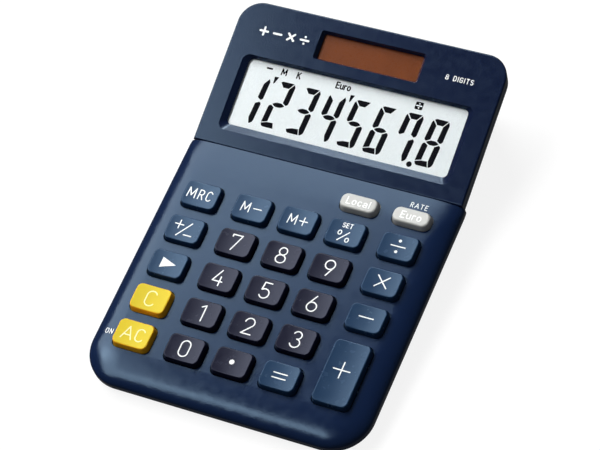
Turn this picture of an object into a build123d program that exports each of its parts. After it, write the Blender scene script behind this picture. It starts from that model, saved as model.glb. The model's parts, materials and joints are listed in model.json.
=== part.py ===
"""Desk calculator: a wedge-shaped case with a tilted display panel and 26 sprung keys.

Millimetres, +Z up, +Y to the back, origin on the table under the middle of the case.
"""
from build123d import *
import os
from math import atan, cos, degrees, radians, sin, tan

os.makedirs("parts", exist_ok=True)

# ---------------------------------------------------------------- driving dimensions
BODY_WIDTH = 103.0        # over the deck's rim
PANEL_WIDTH = 101.0       # display panel, a little narrower than the deck
PANEL_LENGTH = 54.4       # along the panel's slope
DECK_TILT = 4.0           # the key deck rises to the back
PANEL_TILT = 16.6         # the display panel rises more steeply
DECK_Y = -28.33           # where the middle key stands on the table plan
DECK_Z = 10.95            # height of the deck's top under the middle key

COLUMN_INNER = 17.4       # pitch of the three digit columns
COLUMN_OUTER = 19.2       # digit column to the outer column
ROW_PITCH = 14.05

# deck: a flat plateau round the keys, rolling down to a vertical rim
DECK_WALL = 1.6
PLATEAU = (43.0, -33.5, 38.0)         # half width, front, back
PLATEAU_INSIDE = (45.0, -35.5, 46.0)
PLATEAU_CORNER = 6.0
INSIDE_CORNER = 5.0       # corners of the hollows under the deck and the shelf
RIM_FRONT = -45.9
RIM_BACK = 62.0           # where the back roll would end, had the panel not cut it short
ROLL_DROP = 3.2           # height that the rolled edge falls
ROLL_STEPS = 16           # sections of the rolled edge
RIM_BOTTOM = -5.2
RIM_CORNER = 14.0
RIM_WALL = 2.4
JOIN_Y = 50.15            # front edge of the display panel, on the deck
JOIN_DROP = -0.9
JOIN_RIB = 2.6            # cross rib of the case in front of the join
RIB_BOTTOM = -4.0
RIB_PASSAGE = 12.0        # room under the rib for the display's ribbon and the wires
HOLLOW_DEPTH = 3.0
FIT_GAP = 0.15            # between shells that slip together

# display panel: a bezel over a shelf of the upper case
SKIRT = JOIN_DROP - RIM_BOTTOM
SKIRT_WALL = 1.6
BEZEL_PLATE = 1.5
PANEL_CORNER = 8.5
PANEL_EDGE = 0.6
BACK_LEAN = SKIRT * tan(radians(PANEL_TILT))      # keeps the panel's back wall upright
SHELF_BOTTOM = -3.1
SHELF_OUTSIDE = (48.6, -3.0, 51.2)    # half width, front, back
SHELF_INSIDE = (46.8, 1.0, 49.8)
SHELF_CORNER = 6.5

# openings as: width, length, centre up the panel
LCD_BEVEL = (87.1, 28.8, 20.1)
LCD_OPEN = (82.7, 25.1, 21.05)
LCD_SEAT = (85.6, 34.4, 19.2)
SOLAR_BEVEL = (39.5, 10.9, 43.7)
SOLAR_OPEN = (37.4, 9.4, 43.7)
SOLAR_SEAT = (40.2, 11.4, 43.7)
SOLAR_X = 0.9
LCD_CORNERS = (2.8, 1.8)  # at the mouth and at the throat
SOLAR_CORNERS = (1.0, 0.6)
LCD_SEAT_CORNER = 1.0
SOLAR_SEAT_CORNER = 0.6

# display stack
WINDOW_THICK = 0.5
SHEET_GAP = 0.05          # air under the windows
FILM = 0.2                # polariser and reflector sheets
GLASS = 0.7
LCD_GLASS = (85.0, 31.4)
LCD_SLOPE = 20.2          # middle of the rear glass, up the panel
LEDGE = 2.8               # contact strip of the rear glass, left bare by the front glass
SOLAR_GLASS = (39.6, 11.0)
SOLAR_THICK = 1.1
SHEET_MARGIN = 0.6        # films are this much smaller than their glass
FOAM_PAD = (24.0, 12.8, 1.2)
FOAM_SHIFT = (5.0, -0.5)  # off the middle of the solar cell
HOLDER_TOP = -4.6
HOLDER_THICK = 1.2
HOLDER_SIZE = (93.0, 30.0)
HOLDER_WINDOW = (74.0, 20.0)
HOLDER_LAND = (83.6, 26.0)
HOLDER_CORNER = 1.5
HOLDER_SCREW_X = 44.8
HOLDER_SCREW_SLOPES = (10.0, 30.0)
RIBBON = 0.2
RIBBON_WIDTH = 70.0
RIBBON_BEND = 0.4

# lower case: draws in towards the table like a boat
SHELL_HALF = 50.0
SHELL_FRONT = -44.5
SHELL_BACK = 52.4
SHELL_REACH = 80.0        # both halves run past their mitre and are cut there
SHELL_DEPTH = 26.0
SHELL_TAPER = 24.0
SHELL_WALL = 1.8
SHELL_CORNERS = (12.5, 8.0)
CORNER_LOSS = (0.85, 0.45)
FLOOR_BOTTOM = 0.8
FLOOR_TOP = 2.0
FLOOR_EDGE = 0.8
FLOOR_RIB = (50.0, 1.0, 1.6)
FLOOR_RIBS_Y = (28.0, 58.0)

# keys
KEY_TOP = 2.3             # key face above the deck
KEY_SIZE = (12.7, 9.3)
KEY_DRAFT = 0.45          # the sides lean out by this much, face to deck
KEY_DISH = 0.3            # the face is hollowed from side to side for the fingertip
KEY_CORNER = 1.9
KEY_EDGE = 0.45
PILL_KEY_SIZE = (12.9, 5.5)
PILL_KEY_CORNER = 2.2
PILL_KEY_Y = 40.2
PILL_KEY_EDGE = 0.8
PLUS_KEY_LENGTH = 23.2
KEY_CLEARANCE = 0.3
KEY_OPENING_CORNER = 0.6  # added to the corner of the key's face
FLANGE = 0.8              # retaining flange beyond the key's base
FLANGE_TOP = -1.65
FLANGE_BOTTOM = -2.5
KEY_WALL = 1.1
KEY_ROOF = 1.2
PLUNGER_R = 1.7
PLUNGER_END = -3.05

# key mat and board
MAT_TOP = -4.7
BOARD_TOP = -5.2
BOARD_BOTTOM = -6.0
BOARD = (89.0, 81.5)      # width, length
BOARD_BACK = 46.5
MAT = (87.0, 78.0)
MAT_BACK = 44.0
DOME_TOP = -3.1
DOME_R = (3.7, 2.3)       # at the mat and at the crown
DOME_INSIDE_R = (3.25, 1.9)
DOME_CROWN = 0.45
PILL_R = 1.3
PILL_THICK = 0.4
MAT_CORNER = 2.0
BOARD_CORNER = 2.5

# parts on the underside of the board, in a row across it
PARTS_ROW = 34.0
BLOB_R = 5.0
BLOB_HEIGHT = 1.4
CAPACITOR = (2.6, 3.4, 1.8)
CAPACITORS_X = (12.0, 17.0)
RESISTOR = (1.2, 2.0, 0.6)
RESISTORS_X = -16.0       # middle of their group
RESISTOR_PITCH = 4.0
RESISTOR_COUNT = 4
DIODE_R = 1.5
DIODE_HEIGHT = 2.8
DIODE_X = 24.0
PART_ROUND = 1.2          # rounded tops of the blob and the diode

# fasteners and small parts
BOARD_BOSS_R = 1.6
BOARD_PILOT_R = 0.65
BOARD_PILOT_DEPTH = 2.6
HOLDER_PILOT_DEPTH = 2.4
SMALL_SCREW_R = 0.6
SMALL_SCREW_HOLE_R = 0.95
SMALL_HEAD_R = 1.5
SMALL_HEAD = 0.7
SCREW_SHORT = 0.3         # screws stop this far before the end of their pilots
CASE_SCREW_R = 1.1
CASE_PILOT_R = 1.15
CASE_HOLE_R = 1.35
CASE_HEAD_R = 2.3
CASE_HEAD = 1.0
CASE_WELL_R = 2.7
UPPER_BOSS_R = 2.6
LOWER_BOSS_R = 3.9
BOSS_ROOF = 0.8
BOSS_SUNK = 0.6           # lower bosses start inside the floor
# case screws as: x either side, y, screw seat, height where the bosses meet, top of the upper boss
FRONT_SCREW = (38.0, -67.4, 2.4, 3.6, 6.8)
REAR_SCREW = (34.0, 64.4, 10.0, 14.0, 23.9)
FRONT_SHANK = 3.4
REAR_SHANK = 12.6
FOOT_R = 4.0
FOOT_SEAT = 0.3
FOOT_GAP = 0.1
FOOT_EDGE = 0.3
FEET = ((38.0, -57.0), (33.0, 54.5))
WIRE_R = 0.45
WIRE_BEND = 1.2
SOLAR_LEADS_X = (-15.0, -11.5)
BATTERY_LEADS_X = (12.0, 16.0)
STRIP = 0.3               # battery contact metal
STRIP_WIDTH = 4.0

# battery compartment, on the table plan
CELL_R = 5.8
CELL_HEIGHT = 5.4
CELL_CAP_R = 4.4
CELL_CAP = 0.5
CELL_SPOT = (21.0, 40.0)
CELL_BOTTOM = 1.5
WELL_INSIDE = (16.0, 15.0)
WELL_WALL = 1.4
WELL_CEILING = 7.6
WELL_TOP = 8.8
DOOR_SPOT = (25.0, 40.0)
DOOR_SIZE = (26.0, 19.0)
DOOR_GAP = 0.2
DOOR_CORNER = 1.3
DOOR_TOP = 1.4
DOOR_SCREW_SPOT = (34.4, 40.0)
DOOR_BOSS_R = 2.4
DOOR_BOSS_TOP = 6.0
TAIL_TOP = 10.6
TAIL_SLOTS = ((1.0, 5.0), (5.0, 0.8))

# ---------------------------------------------------------------- reference planes
deck_up = Vector(0, -sin(radians(DECK_TILT)), cos(radians(DECK_TILT)))
panel_up = Vector(0, -sin(radians(PANEL_TILT)), cos(radians(PANEL_TILT)))
deck = Plane(origin=(0, DECK_Y, DECK_Z), x_dir=(1, 0, 0), z_dir=deck_up)
join_point = deck.from_local_coords(Vector(0, JOIN_Y, JOIN_DROP))
panel = Plane(origin=join_point, x_dir=(1, 0, 0), z_dir=panel_up)
mitre_tilt = radians((DECK_TILT + PANEL_TILT) / 2)
mitre = Plane(origin=join_point, x_dir=(1, 0, 0), z_dir=(0, cos(mitre_tilt), sin(mitre_tilt)))
deck_axis = Axis(deck.origin, deck_up)
panel_axis = Axis(panel.origin, panel_up)

# ---------------------------------------------------------------- layout
# key name: column (-2 .. 2) and row (2 at the back .. -2 at the front)
GRID_KEYS = {
    "key_mrc": (-2, 2), "key_m_minus": (-1, 2), "key_m_plus": (0, 2),
    "key_percent": (1, 2), "key_divide": (2, 2),
    "key_sign": (-2, 1), "key_7": (-1, 1), "key_8": (0, 1), "key_9": (1, 1),
    "key_multiply": (2, 1),
    "key_backspace": (-2, 0), "key_4": (-1, 0), "key_5": (0, 0), "key_6": (1, 0),
    "key_minus": (2, 0),
    "key_clear": (-2, -1), "key_1": (-1, -1), "key_2": (0, -1), "key_3": (1, -1),
    "key_all_clear": (-2, -2), "key_0": (-1, -2), "key_point": (0, -2),
    "key_equals": (1, -2),
}
COLUMN_X = {
    -2: -COLUMN_INNER - COLUMN_OUTER, -1: -COLUMN_INNER, 0: 0.0,
    1: COLUMN_INNER, 2: COLUMN_INNER + COLUMN_OUTER,
}

# every key as: centre x, centre y, width, length, corner radius, edge radius
key_plan = {
    name: (COLUMN_X[column], row * ROW_PITCH, *KEY_SIZE, KEY_CORNER, KEY_EDGE)
    for name, (column, row) in GRID_KEYS.items()
}
key_plan["key_plus"] = (
    COLUMN_X[2], -1.5 * ROW_PITCH, KEY_SIZE[0], PLUS_KEY_LENGTH, KEY_CORNER, KEY_EDGE,
)
PILL_KEYS = {"key_local": 1, "key_euro": 2}      # name: column
for pill_name, pill_column in PILL_KEYS.items():
    key_plan[pill_name] = (
        COLUMN_X[pill_column], PILL_KEY_Y, *PILL_KEY_SIZE, PILL_KEY_CORNER, PILL_KEY_EDGE,
    )
dome_spots = [(x, y) for x, y, *_ in key_plan.values()]

# board screws stand where the webs between four keys cross
web_x = COLUMN_INNER + COLUMN_OUTER / 2
board_screw_spots = [(sx * web_x, sy * 1.5 * ROW_PITCH) for sx in (-1, 1) for sy in (-1, 1)]
board_screw_spots += [(-COLUMN_INNER / 2, ROW_PITCH / 2), (COLUMN_INNER / 2, -ROW_PITCH / 2)]
holder_screw_spots = [(sx * HOLDER_SCREW_X, slope) for sx in (-1, 1) for slope in HOLDER_SCREW_SLOPES]


# ---------------------------------------------------------------- helpers
def finish(piece, name):
    """Label a finished piece and write it."""
    piece.part.label = name
    export_step(piece.part, f"parts/{name}.step")


def rolled_outlines(drop, plateau, shrink, corner):
    """The deck's rolled edge as outlines: height, width, length, centre y, corner radius."""
    half, front, back = plateau
    for step in range(ROLL_STEPS + 1):
        turn = radians(90 * step / ROLL_STEPS)
        height = -drop - ROLL_DROP * (1 - cos(turn))
        width = 2 * half + (BODY_WIDTH - 2 * shrink - 2 * half) * sin(turn)
        low = front + (RIM_FRONT + shrink - front) * sin(turn)
        high = back + (RIM_BACK - shrink - back) * sin(turn)
        radius = corner + (RIM_CORNER - shrink - corner) * sin(turn)
        yield height, width, high - low, (high + low) / 2, radius


def on_panel(slope, height):
    """Table-plan y and height of a point up the panel and above its face."""
    point = panel.from_local_coords(Vector(0, slope, height))
    return point.Y, point.Z


def on_deck(slope, height):
    """Table-plan y and height of a point up the deck and above its top."""
    point = deck.from_local_coords(Vector(0, slope, height))
    return point.Y, point.Z


# ---------------------------------------------------------------- upper case
# hollow under the deck, with the same rolled edges as its outside
with BuildPart() as deck_hollow:
    for height, width, length, middle, radius in rolled_outlines(
        DECK_WALL, PLATEAU_INSIDE, RIM_WALL, INSIDE_CORNER
    ):
        with BuildSketch(deck.offset(height)):
            with Locations((0, middle)):
                RectangleRounded(width, length, radius)
    loft()
    extrude(deck_hollow.faces().sort_by(deck_axis)[0], amount=HOLLOW_DEPTH)
    split(bisect_by=mitre.offset(-JOIN_RIB), keep=Keep.BOTTOM)

# hollow under the display shelf
with BuildPart() as shelf_hollow:
    half, front, back = SHELF_INSIDE
    with BuildSketch(panel.offset(SHELF_BOTTOM)):
        with Locations((0, (front + back) / 2)):
            RectangleRounded(2 * half, back - front, INSIDE_CORNER)
    extrude(amount=-HOLLOW_DEPTH)

with BuildPart() as upper_case:
    for height, width, length, middle, radius in rolled_outlines(0.0, PLATEAU, 0.0, PLATEAU_CORNER):
        with BuildSketch(deck.offset(height)):
            with Locations((0, middle)):
                RectangleRounded(width, length, radius)
    loft()
    extrude(upper_case.faces().sort_by(deck_axis)[0], amount=-ROLL_DROP - RIM_BOTTOM)
    split(bisect_by=mitre.offset(-FIT_GAP), keep=Keep.BOTTOM)
    add(deck_hollow.part, mode=Mode.SUBTRACT)
    # shelf that carries the display, under the bezel
    half, front, back = SHELF_OUTSIDE
    with BuildSketch(panel.offset(-BEZEL_PLATE)) as shelf_outline:
        with Locations((0, (front + back) / 2)):
            Rectangle(2 * half, back - front)
        fillet(shelf_outline.vertices().group_by(Axis.Y)[-1], radius=SHELF_CORNER)
    extrude(amount=BEZEL_PLATE - SKIRT)
    add(shelf_hollow.part, mode=Mode.SUBTRACT)
    split(bisect_by=deck.offset(RIM_BOTTOM), keep=Keep.TOP)
    # room under the rib for the display's ribbon and wires
    with BuildSketch(deck.offset(RIB_BOTTOM)):
        with Locations((0, JOIN_Y)):
            Rectangle(2 * SHELF_INSIDE[0], RIB_PASSAGE)
    extrude(amount=-HOLLOW_DEPTH, mode=Mode.SUBTRACT)
    # display and solar openings in the shelf
    with BuildSketch(panel.offset(-BEZEL_PLATE)):
        with Locations((0, LCD_SEAT[2])):
            RectangleRounded(LCD_SEAT[0], LCD_SEAT[1], LCD_SEAT_CORNER)
        with Locations((SOLAR_X, SOLAR_SEAT[2])):
            RectangleRounded(SOLAR_SEAT[0], SOLAR_SEAT[1], SOLAR_SEAT_CORNER)
    extrude(amount=SHELF_BOTTOM + BEZEL_PLATE, mode=Mode.SUBTRACT)
    # key openings
    for x, y, width, length, corner, _ in key_plan.values():
        grow = 2 * (KEY_DRAFT + KEY_CLEARANCE)
        with BuildSketch(deck.offset(1.0)):
            with Locations((x, y)):
                RectangleRounded(width + grow, length + grow, corner + KEY_OPENING_CORNER)
        extrude(amount=-HOLLOW_DEPTH - DECK_WALL, mode=Mode.SUBTRACT)
    # bosses for the board screws hang from the webs between the keys
    with BuildSketch(deck.offset(BOARD_TOP)):
        with Locations(*board_screw_spots):
            Circle(BOARD_BOSS_R)
    extrude(amount=-BOARD_TOP - DECK_WALL / 2)
    with BuildSketch(deck.offset(BOARD_TOP)):
        with Locations(*board_screw_spots):
            Circle(BOARD_PILOT_R)
    extrude(amount=BOARD_PILOT_DEPTH, mode=Mode.SUBTRACT)
    # bosses for the case screws
    for x, y, _, foot, head in (FRONT_SCREW, REAR_SCREW):
        with BuildSketch(Plane.XY.offset(foot)):
            with Locations((-x, y), (x, y)):
                Circle(UPPER_BOSS_R)
        extrude(amount=head - foot)
        with BuildSketch(Plane.XY.offset(foot)):
            with Locations((-x, y), (x, y)):
                Circle(CASE_PILOT_R)
        extrude(amount=head - foot - BOSS_ROOF, mode=Mode.SUBTRACT)
    # posts for the display holder's screws
    with BuildSketch(panel.offset(HOLDER_TOP)):
        with Locations(*holder_screw_spots):
            Circle(BOARD_BOSS_R)
    extrude(amount=SHELF_BOTTOM - HOLDER_TOP)
    with BuildSketch(panel.offset(HOLDER_TOP)):
        with Locations(*holder_screw_spots):
            Circle(BOARD_PILOT_R)
    extrude(amount=HOLDER_PILOT_DEPTH, mode=Mode.SUBTRACT)
finish(upper_case, "upper_case")

# ---------------------------------------------------------------- display bezel
with BuildPart() as display_bezel:
    for height, length in ((0.0, PANEL_LENGTH), (-SKIRT, PANEL_LENGTH - BACK_LEAN)):
        with BuildSketch(panel.offset(height)) as bezel_outline:
            with Locations((0, length / 2)):
                Rectangle(PANEL_WIDTH, length)
            fillet(bezel_outline.vertices().group_by(Axis.Y)[-1], radius=PANEL_CORNER)
    loft(ruled=True)
    fillet(display_bezel.faces().sort_by(panel_axis)[-1].edges(), radius=PANEL_EDGE)
    # hollow behind the face, open to the front under the face's edge
    inside = PANEL_LENGTH - SKIRT_WALL
    for height, back in ((-BEZEL_PLATE, inside), (-SKIRT - 1.0, inside - BACK_LEAN)):
        with BuildSketch(panel.offset(height)) as bezel_hollow:
            with Locations((0, (back - 4.0) / 2)):
                Rectangle(PANEL_WIDTH - 2 * SKIRT_WALL, back + 4.0)
            fillet(bezel_hollow.vertices().group_by(Axis.Y)[-1], radius=PANEL_CORNER - SKIRT_WALL)
    loft(ruled=True, mode=Mode.SUBTRACT)
    # sloped walls round the display and the solar cell
    for x, mouth, throat, corners in (
        (0.0, LCD_BEVEL, LCD_OPEN, LCD_CORNERS),
        (SOLAR_X, SOLAR_BEVEL, SOLAR_OPEN, SOLAR_CORNERS),
    ):
        for height, (width, length, slope), corner in (
            (0.0, mouth, corners[0]), (-BEZEL_PLATE, throat, corners[1]),
        ):
            with BuildSketch(panel.offset(height)):
                with Locations((x, slope)):
                    RectangleRounded(width, length, corner)
        loft(ruled=True, mode=Mode.SUBTRACT)
finish(display_bezel, "display_bezel")


# ---------------------------------------------------------------- display and solar stack
def make_sheet(name, top, width, length, x, slope, thick, corner):
    """A flat sheet parallel to the panel, its upper face at height top."""
    with BuildPart() as piece:
        with BuildSketch(panel.offset(top)):
            with Locations((x, slope)):
                RectangleRounded(width, length, corner)
        extrude(amount=-thick)
    finish(piece, name)


film_top = -BEZEL_PLATE - WINDOW_THICK - SHEET_GAP
front_glass_top = film_top - FILM
rear_glass_top = front_glass_top - GLASS
reflector_top = rear_glass_top - GLASS
front_length = LCD_GLASS[1] - LEDGE
front_slope = LCD_SLOPE + LEDGE / 2
make_sheet(
    "lcd_window", -BEZEL_PLATE, LCD_GLASS[0], front_length, 0, front_slope, WINDOW_THICK, 0.8
)
make_sheet(
    "lcd_front_polariser", film_top, LCD_GLASS[0] - SHEET_MARGIN, front_length - SHEET_MARGIN,
    0, front_slope, FILM, 0.3
)
make_sheet(
    "lcd_front_glass", front_glass_top, LCD_GLASS[0], front_length, 0, front_slope, GLASS, 0.2
)
make_sheet("lcd_rear_glass", rear_glass_top, *LCD_GLASS, 0, LCD_SLOPE, GLASS, 0.2)
make_sheet(
    "lcd_reflector", reflector_top, LCD_GLASS[0] - SHEET_MARGIN, LCD_GLASS[1] - SHEET_MARGIN,
    0, LCD_SLOPE, FILM, 0.3
)
make_sheet(
    "solar_window", -BEZEL_PLATE, *SOLAR_GLASS, SOLAR_X, SOLAR_SEAT[2], WINDOW_THICK, 0.4
)
make_sheet("solar_cell", film_top, *SOLAR_GLASS, SOLAR_X, SOLAR_SEAT[2], SOLAR_THICK, 0.1)
make_sheet(
    "solar_foam_pad", film_top - SOLAR_THICK, FOAM_PAD[0], FOAM_PAD[1],
    SOLAR_X + FOAM_SHIFT[0], SOLAR_SEAT[2] + FOAM_SHIFT[1], FOAM_PAD[2], 1.0
)

# frame that clamps the display against its window
with BuildPart() as lcd_holder:
    with BuildSketch(panel.offset(HOLDER_TOP)):
        with Locations((0, LCD_SLOPE)):
            RectangleRounded(*HOLDER_SIZE, HOLDER_CORNER)
            RectangleRounded(*HOLDER_WINDOW, HOLDER_CORNER, mode=Mode.SUBTRACT)
        with Locations(*holder_screw_spots):
            Circle(SMALL_SCREW_HOLE_R, mode=Mode.SUBTRACT)
    extrude(amount=-HOLDER_THICK)
    # raised land that presses on the glass
    with BuildSketch(panel.offset(HOLDER_TOP)):
        with Locations((0, LCD_SLOPE)):
            RectangleRounded(*HOLDER_LAND, HOLDER_CORNER)
            RectangleRounded(*HOLDER_WINDOW, HOLDER_CORNER, mode=Mode.SUBTRACT)
    extrude(amount=reflector_top - FILM - HOLDER_TOP)
finish(lcd_holder, "lcd_holder")


def make_screws(name, seat, spots, head_r, head, shank_r, shank):
    """Pan-head screws: heads hang under the seat plane, shanks stand on it."""
    along = Axis(seat.origin, seat.z_dir)
    with BuildPart() as screws:
        with BuildSketch(seat):
            with Locations(*spots):
                Circle(head_r)
        extrude(amount=-head)
        fillet(screws.edges().group_by(along)[0], radius=0.4 * head)
        with BuildSketch(seat.offset(-head)):
            with Locations(*spots):
                Rectangle(1.1 * head_r, 0.28 * head_r)
                Rectangle(0.28 * head_r, 1.1 * head_r)
        extrude(amount=0.5 * head, mode=Mode.SUBTRACT)
        with BuildSketch(seat):
            with Locations(*spots):
                Circle(shank_r)
        extrude(amount=shank)
        chamfer(screws.edges().group_by(along)[-1], 0.3 * shank_r)
    finish(screws, name)


make_screws(
    "lcd_holder_screws", panel.offset(HOLDER_TOP - HOLDER_THICK), holder_screw_spots,
    SMALL_HEAD_R, SMALL_HEAD, SMALL_SCREW_R, HOLDER_THICK + HOLDER_PILOT_DEPTH - SCREW_SHORT,
)

# heat-bonded ribbon from the glass ledge, under the rib, to the board
ledge_end = LCD_SLOPE - LCD_GLASS[1] / 2
with BuildPart() as lcd_ribbon:
    with BuildSketch(Plane.YZ.offset(-RIBBON_WIDTH / 2)):
        with BuildLine():
            FilletPolyline(
                on_panel(ledge_end + LEDGE - 0.4, rear_glass_top + RIBBON / 2),
                on_panel(ledge_end - 0.3, rear_glass_top + RIBBON / 2),
                on_deck(JOIN_Y + 1.2, RIB_BOTTOM - 0.6),
                on_deck(BOARD_BACK + 0.2, BOARD_TOP + RIBBON / 2),
                on_deck(BOARD_BACK - 1.8, BOARD_TOP + RIBBON / 2),
                radius=RIBBON_BEND,
            )
        trace(line_width=RIBBON)
    extrude(amount=RIBBON_WIDTH)
finish(lcd_ribbon, "lcd_ribbon")


def make_wires(name, routes):
    """Insulated wires along rounded routes."""
    with BuildPart() as bundle:
        for route in routes:
            with BuildLine() as path:
                FilletPolyline(*route, radius=WIRE_BEND)
            with BuildSketch(Plane(origin=path.line @ 0, z_dir=path.line % 0)):
                Circle(WIRE_R)
            sweep(path=path.wire())
    finish(bundle, name)


cell_back = on_panel(SOLAR_SEAT[2], film_top - SOLAR_THICK)
board_pad = on_deck(BOARD_BACK - 2.5, BOARD_BOTTOM - 0.05)
make_wires(
    "solar_leads",
    [
        [
            (x, cell_back[0] + 0.3, cell_back[1] - 0.2),
            (x, cell_back[0] - 0.6, cell_back[1] - 4.5),
            (x, 50.0, 9.5),
            (x, 24.0, 5.6),
            (x, board_pad[0], 5.0),
            (x, board_pad[0], board_pad[1]),
        ]
        for x in SOLAR_LEADS_X
    ],
)

# ---------------------------------------------------------------- keys
for name, (x, y, width, length, corner, edge) in key_plan.items():
    base_w = width + 2 * KEY_DRAFT
    base_l = length + 2 * KEY_DRAFT
    base_corner = corner + KEY_DRAFT
    with BuildPart() as key_cap:
        with BuildSketch(deck):
            with Locations((x, y)):
                RectangleRounded(base_w, base_l, base_corner)
        with BuildSketch(deck.offset(KEY_TOP)):
            with Locations((x, y)):
                RectangleRounded(width, length, corner)
        loft(ruled=True)
        if name not in PILL_KEYS:
            # shallow cylindrical dish in the face
            dish_radius = ((width / 2) ** 2 + KEY_DISH ** 2) / (2 * KEY_DISH)
            across = Plane(
                origin=deck.from_local_coords(Vector(x, y, 0)), x_dir=(1, 0, 0), z_dir=-deck.y_dir
            )
            with BuildSketch(across):
                with Locations((0, KEY_TOP - KEY_DISH + dish_radius)):
                    Circle(dish_radius)
            extrude(amount=length, both=True, mode=Mode.SUBTRACT)
        fillet(key_cap.faces().sort_by(deck_axis)[-1].edges(), radius=edge)
        # stem through the deck, and the flange that stops under it
        with BuildSketch(deck):
            with Locations((x, y)):
                RectangleRounded(base_w, base_l, base_corner)
        extrude(amount=FLANGE_BOTTOM)
        with BuildSketch(deck.offset(FLANGE_TOP)):
            with Locations((x, y)):
                RectangleRounded(base_w + 2 * FLANGE, base_l + 2 * FLANGE, base_corner + FLANGE)
        extrude(amount=FLANGE_BOTTOM - FLANGE_TOP)
        # hollow from below, round a plunger that works the rubber dome
        with BuildSketch(deck.offset(FLANGE_BOTTOM)):
            with Locations((x, y)):
                RectangleRounded(base_w - 2 * KEY_WALL, base_l - 2 * KEY_WALL, base_corner - KEY_WALL)
        extrude(amount=KEY_TOP - KEY_ROOF - FLANGE_BOTTOM, mode=Mode.SUBTRACT)
        with BuildSketch(deck.offset(PLUNGER_END)):
            with Locations((x, y)):
                Circle(PLUNGER_R)
        extrude(amount=KEY_TOP - KEY_ROOF - PLUNGER_END)
    finish(key_cap, name)

# ---------------------------------------------------------------- key mat, pills, board
with BuildPart() as key_mat:
    with BuildSketch(deck.offset(BOARD_TOP)):
        with Locations((0, MAT_BACK - MAT[1] / 2)):
            RectangleRounded(*MAT, MAT_CORNER)
        with Locations(*board_screw_spots):
            Circle(BOARD_BOSS_R + 0.3, mode=Mode.SUBTRACT)
    extrude(amount=MAT_TOP - BOARD_TOP)
    with BuildSketch(deck.offset(MAT_TOP)):
        with Locations(*dome_spots):
            Circle(DOME_R[0])
    dome_height = DOME_TOP - MAT_TOP
    extrude(amount=dome_height, taper=degrees(atan((DOME_R[0] - DOME_R[1]) / dome_height)))
    with BuildSketch(deck.offset(BOARD_TOP)):
        with Locations(*dome_spots):
            Circle(DOME_INSIDE_R[0])
    inside_height = DOME_TOP - DOME_CROWN - BOARD_TOP
    inside_taper = degrees(atan((DOME_INSIDE_R[0] - DOME_INSIDE_R[1]) / inside_height))
    extrude(amount=inside_height, taper=inside_taper, mode=Mode.SUBTRACT)
finish(key_mat, "key_mat")

with BuildPart() as contact_pills:
    with BuildSketch(deck.offset(DOME_TOP - DOME_CROWN)):
        with Locations(*dome_spots):
            Circle(PILL_R)
    extrude(amount=-PILL_THICK)
finish(contact_pills, "contact_pills")

with BuildPart() as main_board:
    with BuildSketch(deck.offset(BOARD_TOP)):
        with Locations((0, BOARD_BACK - BOARD[1] / 2)):
            RectangleRounded(*BOARD, BOARD_CORNER)
        with Locations(*board_screw_spots):
            Circle(SMALL_SCREW_HOLE_R, mode=Mode.SUBTRACT)
    extrude(amount=BOARD_BOTTOM - BOARD_TOP)
finish(main_board, "main_board")

make_screws(
    "board_screws", deck.offset(BOARD_BOTTOM), board_screw_spots,
    SMALL_HEAD_R, SMALL_HEAD, SMALL_SCREW_R,
    BOARD_TOP - BOARD_BOTTOM + BOARD_PILOT_DEPTH - SCREW_SHORT,
)

with BuildPart() as controller_blob:
    with BuildSketch(deck.offset(BOARD_BOTTOM)):
        with Locations((0, PARTS_ROW)):
            Circle(BLOB_R)
    extrude(amount=-BLOB_HEIGHT)
    fillet(controller_blob.edges().group_by(deck_axis)[0], radius=PART_ROUND)
finish(controller_blob, "controller_blob")

with BuildPart() as board_capacitors:
    with BuildSketch(deck.offset(BOARD_BOTTOM)):
        with Locations(*[(x, PARTS_ROW) for x in CAPACITORS_X]):
            Rectangle(CAPACITOR[0], CAPACITOR[1])
    extrude(amount=-CAPACITOR[2])
    chamfer(board_capacitors.edges().group_by(deck_axis)[0], 0.25)
finish(board_capacitors, "board_capacitors")

with BuildPart() as board_resistors:
    with BuildSketch(deck.offset(BOARD_BOTTOM)):
        with GridLocations(RESISTOR_PITCH, 0, RESISTOR_COUNT, 1):
            with Locations((RESISTORS_X, PARTS_ROW)):
                Rectangle(RESISTOR[0], RESISTOR[1])
    extrude(amount=-RESISTOR[2])
finish(board_resistors, "board_resistors")

# light-emitting diode used as a voltage clamp across the solar cell
with BuildPart() as clamp_diode:
    with BuildSketch(deck.offset(BOARD_BOTTOM)):
        with Locations((DIODE_X, PARTS_ROW)):
            Circle(DIODE_R)
    extrude(amount=-DIODE_HEIGHT)
    fillet(clamp_diode.edges().group_by(deck_axis)[0], radius=PART_ROUND)
finish(clamp_diode, "clamp_diode")


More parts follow.
